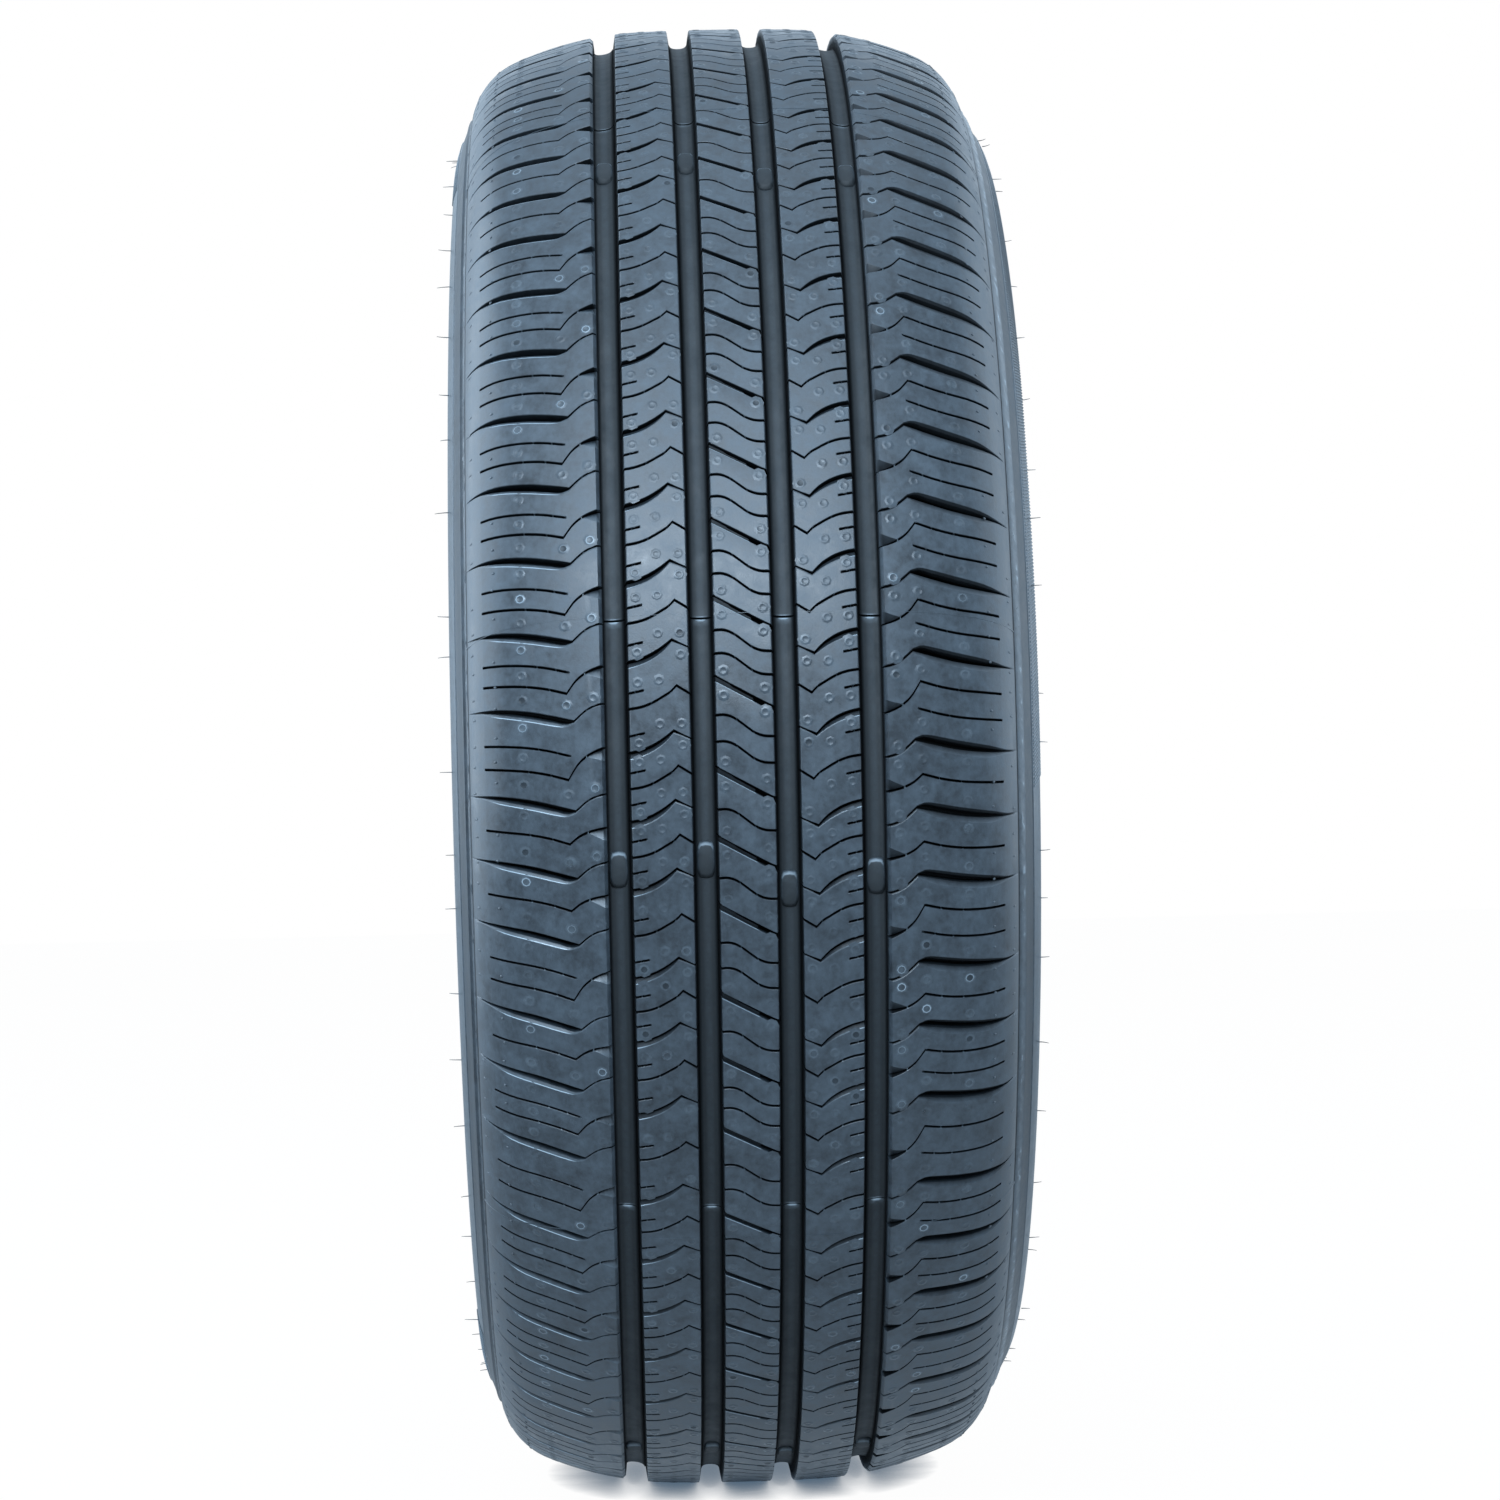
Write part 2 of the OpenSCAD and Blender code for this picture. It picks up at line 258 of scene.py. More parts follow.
# Left and right shoulder. Their wide groove runs between an upper and a lower edge read off the photograph:
# it bends a quarter of the way out and fades before the ridge. A long sipe bends beside it and a short one
# stands between. Values for both sides are named by the side, and shares of a pitch are for a short one and
# for any other.
shoulderSpec = {
    "shift": {-1: 30.8, 1: 6.0}, "innerEdge": 54.9, "outerEdge": 108.5, "wallFade": 6.0,
    "innerWall": [[62.0, 9.0], [53.85, 9.0], [53.95, 7.6], [54.3, 4.0], [54.6, 1.45]],
    "outerWall": [[108.2, 0], [107.0, 0], [104.0, 0], [95.0, 9.2]], "ridgeDrops": [0.9, 1.9, 3.4],
    "columns": [55.9, 57.3, 58.7, 60.3, 63.8, 65.3, 66.4, 67.6, 69.0, 69.4, 71.0, 74.5, 77.5, 82.4, 87.2,
                90.0, 93.0, 96.0, 99.0, 101.5, 102.0, 103.4, 105.0, 106.2, 107.2, 108.0, 108.5],
    "upper": [[(54, -6.9), (58.7, -5.75), (62, -3.9), (66.4, -0.1)],
              [(66.4, -0.1), (74.5, -2.1), (83, -4.0), (91, -5.1), (99.5, -5.6), (110, -5.2)]],
    "lower": [[(54, -6.1), (58.7, -4.95), (62, -3.1), (66.4, 0.85)],
              [(66.4, 0.85), (69.4, 1.7), (74.5, 0.8), (83, -1.0), (91, -2.5), (99.5, -4.0), (104, -4.7),
               (110, -4.6)]],
    "wideDepth": [(54, 5.2), (66, 6.0), (72, 6.5), (90, 6.5), (97, 5.2), (102, 3.0), (106, 0.9), (108, 0.15),
                  (108.4, 0)],
    "wall": [(54, 0.2), (66.4, 0.3), (70, 1.0), (76, 1.4), (90, 1.5), (98, 1.1), (102, 0.5), (110, 0.3)],
    "fade": [(54, 0.2), (66.4, 0.3), (74, 1.0), (97, 1.0), (103, 0.2)],
    # Next come the strength of the painted highlight on the left's last strip, and how the groove's painted
    # shade grows with depth; slopeShades give the painted shade and highlight of the slope, ledge and rim,
    # and lastShade the painted shade of the right's last strip.
    "worn": [(66, 0.0), (72, 1.75), (97, 1.75), (103, 0.0)],
    "roll": {-1: 0.25, 1: 2.1}, "reach": {-1: 1.25, 1: 0.9}, "darkFrom": 0.6, "darkOver": 4, "darkPower": 0.7,
    "slopeShades": {-1: (0.8, 0.4, -0.3), 1: (1.0, 0.92, 0.85)}, "lastShade": 0.7,
    "rise": {"S": 6.6, "M": 10.5, "L": 12.6, "X": 14.0}, "riseScale": 6.6,
    "longInner": [(54, -6.7), (58.7, -5.75), (62, -4.75), (65.3, -3.1), (69, 0)],
    "longOuter": [(69, 0), (77, -2.2), (84.5, -3.5), (93.7, -4.25), (102, -4.6), (110, -4.7)],
    "longDepth": [(54, 5.0), (99, 4.6), (101.4, 3.6), (101.9, 0)], "longHalf": 0.45,
    # The facet is painted dark, a painted shade, and its edge gets a painted highlight on the left and a
    # painted shade on the right.
    "facet": [(54.9, 1), (61.3, 0)], "facetSink": 2.4, "facetReach": 4.4, "facetShade": 0.8,
    "facetEdge": {-1: -1.0, 1: 0.65},
    "short": [[(54, -8), (58.7, -4), (62, -1.5), (66.5, 0.7)],
              [(66.5, 0.7), (69.3, 0), (77, -2.0), (84.5, -3.3), (93.7, -4.1), (110, -4.5)]],
    "shortDepth": [(68.6, 0), (69.2, 3.6), (71, 4.6), (99, 4.4), (101.4, 3.4), (101.9, 0)], "shortHalf": 0.42,
    "longShare": {-1: (0.5, 0.66), 1: (0.5, 0.34)}, "shortShare": {-1: (0.25, 0.385), 1: (0.75, 0.655)},
    "longBridges": [61.9, 75.6, 84.5], "shortBridges": [73.0, 80.3], "wideBridges": [61.2],
}


# The shoulder's cuts in one kind of pitch. The wide groove drops at its upper edge, lies flat and climbs to
# its lower edge in a slope that is as wide as the wall and stepped by shares of the fade; past it comes a
# strip with a painted highlight on the left and a painted shade on the right, and the groove's lines carry a
# painted shade that grows with depth. The long sipe bends by the pitch's own rise, and below its inner end a
# facet falls back from the straight groove, painted dark, with an edge of painted highlight on the left and
# of painted shade on the right.
def shoulderFeatures(v, kind, side):
    spec, plain = shoulderSpec, 0 * v
    upper, lower = through(v, spec["upper"]), through(v, spec["lower"])
    depth = bridgedDepth(v, spec["wideDepth"], spec["wideBridges"])
    wall, fade = along(v, spec["wall"]), along(v, spec["fade"])
    dark = np.clip((depth - spec["darkFrom"]) / spec["darkOver"], 0, 1) ** spec["darkPower"]
    roll, reach = spec["roll"][side], spec["reach"][side]
    slope, ledge, rim = spec["slopeShades"][side]
    last = spec["lastShade"] * dark if side > 0 else -along(v, spec["worn"])
    wide = [
        (upper - 0.1 - roll * fade, plain, plain),
        (upper, np.minimum(0.22 + (roll - 0.25) * 0.3 * fade, depth), 0.75 * dark),
        (upper + 0.15, depth, 0.85 * dark), (lower - wall, depth, dark),
        (lower - wall + 0.12 * fade, np.minimum(depth, 2.9), slope * dark),
        (lower - 0.35 * fade, np.minimum(depth, 0.9 * fade), ledge * dark),
        (lower + 0.35 * fade, np.minimum(depth, 0.45 * fade), rim * dark),
        (lower + (reach - 0.2) * fade, np.minimum(depth, 0.06), last),
        (lower + reach * fade + 0.1, plain, plain),
    ]
    rise = spec["rise"][kind] / spec["riseScale"]
    centre = through(v, [[(x, y * rise) for x, y in spec["longInner"]], spec["longOuter"]])
    long = cutLines(centre, spec["longHalf"], bridgedDepth(v, spec["longDepth"], spec["longBridges"]))
    facet = along(v, spec["facet"])
    flat = facet > 0.04
    lip, end = long[4], long[5][0] + spec["facetReach"] * facet
    long[4] = (lip[0], lip[1] + spec["facetSink"] * facet, np.where(flat, spec["facetShade"], lip[2]))
    long[5] = (end, 0.1 * facet, spec["facetEdge"][side] * flat)
    long.append((end + 0.12 + 0.1 * facet, plain, plain))
    depth = bridgedDepth(v, spec["shortDepth"], spec["shortBridges"])
    short = cutLines(through(v, spec["short"]), spec["shortHalf"], depth * (kind != "S"))
    longCut = (spec["longShare"][side][kind != "S"], long)
    shortCut = (spec["shortShare"][side][kind != "S"], short)
    return [(0, wide), shortCut, longCut] if side < 0 else [(0, wide), longCut, shortCut]


# Second and fourth rib: a cross groove with a peak near the inner edge, its twin sipe halfway and a dash
# beside each.
ribSpec = {
    "shift": {-1: 0.0, 1: 39.0}, "innerEdge": 21.0, "outerEdge": 44.9, "wallFade": 2.5,
    "innerWall": [[30.0, 9.0], [20.0, 9.0], [20.3, 7.4], [20.85, 3.5], [21.35, 0.3]],
    "outerWall": [[44.65, 0.3], [45.15, 3.5], [45.7, 7.4], [46.0, 9.0], [36.0, 9.0]],
    "columns": [21.7, 23.3, 24.8, 26.25, 27.0, 27.7, 29.8, 31.6, 33.4, 37.6, 38.8, 39.4, 40.6, 43.4, 44.3],
    "upper": [[(20.5, 3.35), (24.2, 1.6), (27.7, -0.3)],
              [(27.7, -0.3), (30.8, 2.15), (35, 4.8), (40, 6.95), (45, 8.1)]],
    "lower": [[(20.5, 4.2), (24.2, 2.45), (27.7, 1.05)],
              [(27.7, 1.05), (30.8, 4.3), (35, 7.25), (40, 9.4), (45, 10.6)]],
    "wideDepth": [(20, 5.0), (26, 5.4), (30, 6.3), (46, 6.5)],
    # The last list here gives the strength of the far edge's painted highlight, which also sets that edge out
    # by half of it.
    "slope": [(20, 0.1), (27, 0.2), (31, 1.3), (45, 1.9)], "worn": [(30, 0.0), (38, 0.6), (45, 1.0)],
    "twin": [[(20.5, 3.7), (23.3, 1.9), (26.25, 0)],
             [(26.25, 0), (28.3, 2.1), (31.7, 4.3), (35.8, 6.6), (40, 8.1), (45, 8.9)]],
    "twinShare": {-1: 0.51, 1: 0.47}, "twinDepth": [(20, 5.0), (46, 5.0)], "twinHalf": 0.45,
    "dash": [[(20.5, -5), (25, -7), (31, -0.9), (36.5, 0.4)], [(36.5, 0.4), (39.3, 0.95), (45, 2.05)]],
    "dashDepth": [(38.9, 0), (39.5, 2.6), (46, 3.0)], "dashHalf": 0.4, "dashShift": 0.7,
    "twinBridges": [28.6, 36.0], "dashBridges": [42.3],
}


# The rib's cuts in one kind of pitch. The wide groove drops at its near edge, lies flat and climbs in a slope
# to its far edge, which lies further out by half the strength of its painted highlight and carries that
# painted highlight, while the groove itself carries a painted shade. The near edge is the upper one on the
# left and the lower one on the right.
def ribFeatures(v, kind, side):
    spec, plain = ribSpec, 0 * v
    upper, lower = through(v, spec["upper"]), through(v, spec["lower"])
    slope, worn = along(v, spec["slope"]), along(v, spec["worn"])
    near, far, way = (lower, upper - 0.5 * worn, -1) if side > 0 else (upper, lower + 0.5 * worn, 1)
    depth = along(v, spec["wideDepth"])
    wide = [
        (near - 0.25 * way, plain, 0), (near, 0.22 + plain, 0.9), (near + 0.12 * way, depth, 1),
        (far - (slope + 0.15) * way, depth, 1), (far - slope * way, 0.4 + 0.5 * slope, 0.85),
        (far - 0.3 * way, 0.2 + 0.1 * slope, 0.6), (far - 0.05 * way, 0.1 + plain, -2.0 * worn),
        (far + 0.3 * way, plain, 0),
    ][::way]
    twin = cutLines(through(v, spec["twin"]), spec["twinHalf"],
                    bridgedDepth(v, spec["twinDepth"], spec["twinBridges"]))
    dash, depth = through(v, spec["dash"]), bridgedDepth(v, spec["dashDepth"], spec["dashBridges"])
    first, second = (cutLines(dash + more, spec["dashHalf"], depth) for more in (0, spec["dashShift"]))
    share = spec["twinShare"][side]
    if side < 0:
        return [(0, first), (0, wide), (share, second), (share, twin)]
    return [(0, wide), (0, first), (share, twin), (share, second)]


# Middle rib: a slanting groove, and two sipes bent like an S, or one in a short pitch.
middleSpec = {
    "shift": {0: 16.0}, "innerEdge": -11.4, "outerEdge": 11.4, "wallFade": 2.5,
    "innerWall": [[-3.0, 9.0], [-12.4, 9.0], [-12.1, 7.4], [-11.55, 3.5], [-11.05, 0.3]],
    "outerWall": [[11.05, 0.3], [11.55, 3.5], [12.1, 7.4], [12.4, 9.0], [3.0, 9.0]],
    "columns": [-10.7, -9.6, -8.3, -7.0, -5.6, -4.4, -1.6, 0.0, 1.6, 4.4, 5.6, 7.0, 8.3, 9.6, 10.7],
    "upper": [[(-12, -2.3), (-10, -0.8), (-7, 0.95), (0, 4.85), (7, 8.75), (10, 10.3), (12, 11.0)]],
    "lower": [[(-12, 0.7), (-10, 1.7), (-7, 3.35), (0, 7.25), (7, 11.15), (10, 12.95), (12, 14.3)]],
    "wideDepth": 6.3, "ledge": [(3.5, 1.4), (4.2, 4.0)],
    "pad": [(-12, 2.1), (-5.0, 1.9), (-4.5, 1.5), (3.5, 1.35), (4.2, 0.3), (12, 0.3)],
    "sipe": [[(-12, 0.0), (-10.5, -0.1), (-8.3, -0.2), (-5.8, 0.35), (-3.2, 1.75), (0, 4.2), (3.3, 6.7),
              (6.7, 8.2), (10.8, 8.6), (12, 8.65)]],
    "sipeDepth": [(-12, 5.0), (12, 5.0)], "sipeHalf": 0.45, "shares": [(0.57, 0.4), (0.79, 0.69)],
    "sipeBridges": [-3.2, 3.3],
}


# The middle rib's cuts in one kind of pitch. The groove drops at its upper edge, and a padded ledge of the
# given depth lies along its lower edge, up to where the pad ends. The groove and the pad carry a painted
# shade, and the lower edge a painted highlight where the ledge is full. Both sipes are one curve at two
# shares of the pitch.
def middleFeatures(v, kind, side):
    spec, plain = middleSpec, 0 * v
    upper, lower = through(v, spec["upper"]), through(v, spec["lower"])
    pad, ledge = along(v, spec["pad"]), along(v, spec["ledge"])
    depth = spec["wideDepth"] + plain
    full = along(v, [(spec["ledge"][0][0], 1.0), (spec["ledge"][1][0], 0.0)])
    wide = [
        (upper - 0.25, plain, 0), (upper, 0.22 + plain, 0.9), (upper + 0.12, depth, 1),
        (lower - pad - 0.15, depth, 1), (lower - pad, ledge, 1 - 0.2 * full),
        (lower - 0.35, ledge, 1 - 0.15 * full), (lower - 0.2, 0.4 + plain, 0.6),
        (lower - 0.05, 0.12 + plain, 0.4 - 1.8 * full),
        (lower + 0.12, 0.03 + plain, -1.3 * full), (lower + 0.3, plain, 0),
    ]
    sipe = cutLines(through(v, spec["sipe"]), spec["sipeHalf"],
                    bridgedDepth(v, spec["sipeDepth"], spec["sipeBridges"]))
    second = [(y, d * (kind != "S"), shade * (kind != "S")) for y, d, shade in sipe]
    shares = [share[kind != "S"] for share in spec["shares"]]
    return [(0, wide), (shares[0], sipe), (shares[1], second)]


# Casing: floors of the straight grooves, a recess beside each ridge, sidewalls with a raised panel and rings,
# rim guards, beads and liner, as one closed ring. Each side stands out by its own bulge, as on a tyre that is
# on no rim. "floor", "hidden", "rings", "guard" and "bead" are places, "upper" holds a drop below the ridge,
# a share and an offset, and "notch" holds the place, the sink and the painted shade and highlight of the
# lines that the mould's joints leave in the floors. The floors get a painted shade at their edges and a
# painted highlight along their middle and beside the notches, and by their drop below the ridge the sides get
# a painted shade in the recess and on a band, and a painted highlight on the panel.
casingSpec = {
    "lines": 240, "bulge": {-1: -0.4, 1: 2.8}, "recess": {-1: 1.0, 1: 0.35},
    "floor": [(-4.6, 7.0), (-4.2, 6.4), (-3.95, 6.9), (-3.5, 7.45), (-2.8, 7.85), (-1.9, 8.1), (-0.9, 8.22),
              (0.0, 8.25), (0.9, 8.22), (1.9, 8.1), (2.8, 7.85), (3.5, 7.45), (3.95, 6.9), (4.2, 6.4),
              (4.6, 7.0)],
    "grooves": [(16.2, 0.97), (50.2, 1.03)], "under": 8.6, "underEnds": (0, 9.5), "underSides": (6.8, 26),
    "underRidge": (92, 8.8),
    "hidden": [(3.2, 99.6), (-1.0, 103.0), (-1.6, 106.0), (-1.3, 107.4)],
    "upper": [(1.3, 0.0, -0.75), (5.0, 0.235, -0.75), (5.5, 0.27, 0.0), (6.2, 0.3, 0.1), (8.5, 0.4, -0.1),
              (11.0, 0.51, -0.1), (13.4, 0.615, 0.0), (13.7, 0.62, -0.35), (14.0, 0.64, -0.3),
              (14.3, 0.655, 0.15), (17.0, 0.78, 0.15), (20.0, 0.9, 0.05), (22.5, 0.97, 0.0),
              (25.1, 1.0, 0.0)],
    "rings": [(-3.0, 0.0), (-6.0, -0.15), (-6.4, -0.55), (-6.8, -0.55), (-7.2, -0.2), (-9.0, -0.35),
              (-9.4, -0.75), (-9.8, -0.75), (-10.2, -0.4), (-13.0, -0.75), (-16.0, -1.4), (-18.0, -2.2),
              (-20.0, -3.3)],
    "ringLength": 20, "guard": [(1.5, -1.4), (-1.5, -1.4), (-3.0, -2.6)],
    "bead": [(14, 4.5), (10.5, 1.2), (8, 0), (4, 0), (2, -0.5), (0.5, -2), (0, -4)], "toe": 1.5,
    "beadLean": (16, 8), "wallLean": (16, 10), "bendLean": (0.6, 0.3), "roofLean": 0.35, "steps": (10, 8, 10),
    "floorReach": 56, "floorSink": 8.4,
    "seams": [9.6, 55.1, 99.6, 144.6, 189.6, 234.6, 279.6, 326.4], "seamClear": 0.008, "seamMiddle": 0.005,
    "notch": [(-1.0, 0.0, 0.0), (-0.2, -0.15, -1.5), (0.0, 0.0, 0.8), (0.2, 0.9, 1.0), (0.5, 0.8, 0.8),
              (0.75, 0.2, -1.7), (1.4, -0.1, -1.2), (3.6, 0.0, 0.0)],
    "tone": [(1.3, 1.0), (5.0, 0.1), (5.5, 0.28), (13.4, 0.28), (14.0, 0.0), (14.3, -0.6), (25.1, -0.6),
             (34.0, 0.0)],
    "floorEdge": [(2.9, 0.0), (4.1, 1.0)], "floorMiddle": [(0.65, -0.3), (1.95, 0.0)],
    "seamShine": [(1.32, 1.0), (3.52, 0.0)],
}


# Drops below the ridge and distances of a side's upper part, down to its widest place: what lies between the
# ridge and that place, times a share, plus an offset.
def upperOutline(side):
    drop, share, offset = np.array(casingSpec["upper"]).T
    offset[:2] *= casingSpec["recess"][side]
    widest = tyreSpec["halfW"] + casingSpec["bulge"][side]
    return drop, tyreSpec["ridgeV"] + (widest - tyreSpec["ridgeV"]) * share + offset


# Radius and distance on a side of the casing at a drop below the ridge, with a lift off its surface.
def onSide(side, drop, lift=0.0):
    drops, out = upperOutline(side)
    return ridgeR - drop, side * (np.interp(drop, drops, out) + lift)


# One side's section from the middle of the tread to the middle of the liner, as radius and distance. The
# floors follow the crown at their depths, and the curves of the liner lean from the bead to the sidewall and
# to the crown.
def halfSection(side):
    t, spec = tyreSpec, casingSpec
    floor, under = np.array(spec["floor"]), spec["under"]
    rows = [(v, under) for v in spec["underEnds"]]
    for middle, grow in spec["grooves"]:
        rows += [(middle + v * grow, depth) for v, depth in floor]
        rows += [(middle + v, under) for v in spec["underSides"]]
    v, depth = np.array(rows + [spec["underRidge"]]).T
    crown = np.stack([crownRadius(v) - depth, v], -1)
    hidden = np.array(spec["hidden"]) + [ridgeR, 0]
    drop, out = upperOutline(side)
    bulge = spec["bulge"][side]
    widest = t["halfW"] + bulge
    drops, inset = np.array(spec["rings"]).T
    rings = np.stack([t["widestR"] + drops, widest + inset + drops / spec["ringLength"] * bulge], -1)
    seat, toeV, toe = t["seatR"], t["beadV"] - t["beadW"], spec["toe"]
    guard = np.array(spec["guard"]) + [t["guardR"], t["halfW"]]
    heel = np.array(spec["bead"]) + [seat, t["beadV"]]
    bead = np.concatenate([guard, heel, [[seat, toeV + toe], [seat + toe, toeV]]])
    wall, widestR, roof = widest - t["sideT"], t["widestR"], t["outerR"] - t["crownT"]
    bend = np.array([ridgeR, t["ridgeV"] - t["shoulderT"]])
    way = toward(t["linerSlope"]) * [-1, 1]
    fromToe = [seat + spec["beadLean"][0], toeV + spec["beadLean"][1]]
    belowWall, aboveWall = [widestR - spec["wallLean"][0], wall], [widestR + spec["wallLean"][1], wall]
    outward = bend + spec["bendLean"][0] * (wall - bend[1]) * way
    inward = bend - spec["bendLean"][1] * bend[1] * way
    lower = curve([bead[-1], fromToe, belowWall, [widestR, wall]], spec["steps"][0])[1:]
    middle = curve([[widestR, wall], aboveWall, outward, bend], spec["steps"][1])[1:]
    liner = curve([bend, inward, [roof, spec["roofLean"] * bend[1]], [roof, 0]], spec["steps"][2])[1:]
    upper = np.stack([ridgeR - drop, out], -1)
    return np.concatenate([crown, hidden, upper, rings, bead, lower, middle, liner])


# The casing's ring: both half sections carried round the axle, at even angles and at closer ones beside each
# joint of the mould, where the floors of the grooves take the notch's sink and its painted shade and
# highlight.
# Floors get a painted shade and highlight by the offset from their middle, and the sides a painted shade and
# highlight by their drop.
def buildCasing(name):
    spec = casingSpec
    section = np.concatenate([halfSection(1), halfSection(-1)[1:-1][::-1] * [1, -1]])
    seams, notch = np.radians(spec["seams"]), np.array(spec["notch"])
    extra = (seams[:, None] - notch[:, 0] / tyreSpec["outerR"]).ravel()
    even = np.linspace(0, 2 * math.pi, spec["lines"], endpoint=False)
    even = even[np.abs(even[:, None] - seams + spec["seamMiddle"]).min(1) > spec["seamClear"]]
    angle = np.concatenate([even, extra])
    sink, worn = (np.concatenate([0 * even, np.tile(notch[:, i], len(seams))]) for i in (1, 2))
    order = np.argsort(angle)
    angle, sink, worn = (values[order][:, None] for values in (angle, sink, worn))
    radius, across = section.T
    inFloor = (np.abs(across) < spec["floorReach"]) & (radius > crownRadius(across) - spec["floorSink"])
    offset = np.min([np.abs(np.abs(across) - middle) for middle, grow in spec["grooves"]], 0)
    edge, shine = along(offset, spec["floorEdge"]) * inFloor, along(offset, spec["floorMiddle"]) * inFloor
    pale = np.minimum(worn, 0) * inFloor * along(offset, spec["seamShine"])
    shade = np.maximum(edge, worn * inFloor) + pale * (1 - edge) + shine * (worn == 0)
    shade += along(ridgeR - radius, spec["tone"]) * (np.abs(across) > tyreSpec["ridgeV"] - 1)
    return shaded(closedGrid(name, placed(radius - sink * inFloor, across, angle)), shade)


# Wear bars: flat-topped pads with sloping sides on the groove floors. Their outline takes a cosine across and
# a sine along, each raised to a power that squares it off. The first two places are the ones in view, and the
# rest share what is left of the tread evenly. A row is a distance, a turn in degrees and a width, and a step
# of the rise is an inset, a height, and its paint on the sides and at the upper end: a slight painted shade
# at the foot and a painted highlight above, which at the upper end goes over into a painted glint; the lower
# end is left plain.
barSpec = {
    "first": 48.5, "second": -7.7, "sets": 6, "length": 15.5, "points": 16, "powers": (0.45, 0.8),
    "floor": 8.0, "taper": (2.0, 3.2), "fades": [(-5, -1.1), (5, -0.9)],
    "rows": [(-50.2, 0.05, 8.2), (-16.2, 0.66, 8.0), (16.2, -1.5, 8.0), (50.2, -0.8, 8.2)],
    "rise": [(0.0, -0.6, 0.2, 0.2), (0.0, -0.1, 0.2, -0.5), (0.35, 0.6, -0.4, -1.1), (0.7, 1.2, -0.8, -1.3),
             (1.0, 1.5, -0.7, -1.25), (1.3, 1.6, -0.15, -0.3)],
}


def buildBars(name):
    spec = barSpec
    turn = np.linspace(0, 2 * math.pi, spec["points"], endpoint=False)
    shape = np.stack([np.cos(turn), np.sin(turn)], -1)
    shape = 0.5 * np.sign(shape) * np.abs(shape) ** spec["powers"]
    gap = (360 - spec["first"] + spec["second"]) / (spec["sets"] - 1)
    places = np.radians([spec["first"]] + [spec["second"] - gap * i for i in range(spec["sets"] - 1)])
    v, offset, width = (column[:, None, None, None] for column in np.array(spec["rows"]).T)
    inset, height, sideShade, endShade = (column[:, None] for column in np.array(spec["rise"]).T)
    across = v + shape[:, 0] * (width - spec["taper"][0] * inset)
    length = shape[:, 1] * (spec["length"] - spec["taper"][1] * inset)
    angle = places[:, None, None] + np.radians(offset) - length / tyreSpec["outerR"]
    points = placed(crownRadius(v) - spec["floor"] + height, across, angle)
    end, foot = (np.clip(slope * shape[:, 1] + start, 0, 1) for slope, start in spec["fades"])
    shade = sideShade * (1 - end) * (1 - foot) + endShade * end
    piece = builtMesh(name, points.reshape(-1, 3), tubeQuads(points), 50)
    return shaded(piece, np.broadcast_to(shade, points.shape[:-1]))


# Small round marks that lie on the tread: each is a lathe of a few sides, whose profile gives distance from
# its middle and height above the tread, times the cosine and sine of each side's turn, closed flat at both
# ends.
def roundMarks(name, v, s, profile, sides):
    turn = np.linspace(0, 2 * math.pi, sides, endpoint=False)
    wide, height = np.array(profile).T[:, :, None]
    across = v[:, None, None] + wide * np.cos(turn)
    length = s[:, None, None] + wide * np.sin(turn)
    points = placed(crownRadius(across) + height, across, angleOf(length))
    return builtMesh(name, points.reshape(-1, 3), tubeQuads(points), 50)


# Vent marks: the thin lip that a vent leaves on the tread, a few on each block. A row holds its shift and its
# marks, each a distance across, a share of the pitch, a length beyond it and the kinds of pitch that have it.
ventSpec = {
    "lip": [(3.2, -0.1), (1.8, 0.03), (1.5, 0.15), (1.2, 0.03)], "sides": 8, "lipShade": -0.8,
    "strength": (0.05, 1.0), "power": 1.6, "shoulders": 1.5, "ribs": 1.1, "darkShare": 0.08, "dark": 0.45,
    "middle": 0.8,
    "rows": {
        "shoulderLeft": (30.8, [(-86.6, 0, 2.2, kinds), (-86.6, 0.385, 0.6, "MLX"), (-86.6, 0.66, 1.9, "MLX"),
                                (-86.6, 0.5, 3.5, "S"), (-69.2, 0, -6.2, kinds), (-58.7, 0, -8.8, kinds)]),
        "ribSecond": (0.0, [(-41.3, 0, 4.8, kinds), (-33, 0, -2.5, kinds), (-24.6, 0, -2.6, kinds),
                            (-24.3, 0, 6.0, kinds), (-41.3, 0.51, -1.5, kinds), (-33, 0.51, -2.2, kinds)]),
        "ribMiddle": (16.0, [(-8, 0, -3.2, kinds), (-8, 0, 6.4, kinds), (8, 0, 3.9, kinds),
                             (8, 0, 13.4, kinds)]),
        "ribFourth": (39.0, [(41.3, 0, -4.8, kinds), (33, 0, 2.5, kinds), (24.6, 0, 2.6, kinds),
                             (24.3, 0, -6.0, kinds), (41.3, 0.47, 1.5, kinds), (33, 0.47, 2.2, kinds)]),
        "shoulderRight": (6.0, [(87, 0, 9.2, kinds), (69.5, 0, 7.5, kinds), (59.5, 0, 9.6, kinds),
                                (59.5, 0, 2.2, kinds), (87, 0, -2.2, kinds), (69.5, 0, -7.1, kinds)]),
    },
}


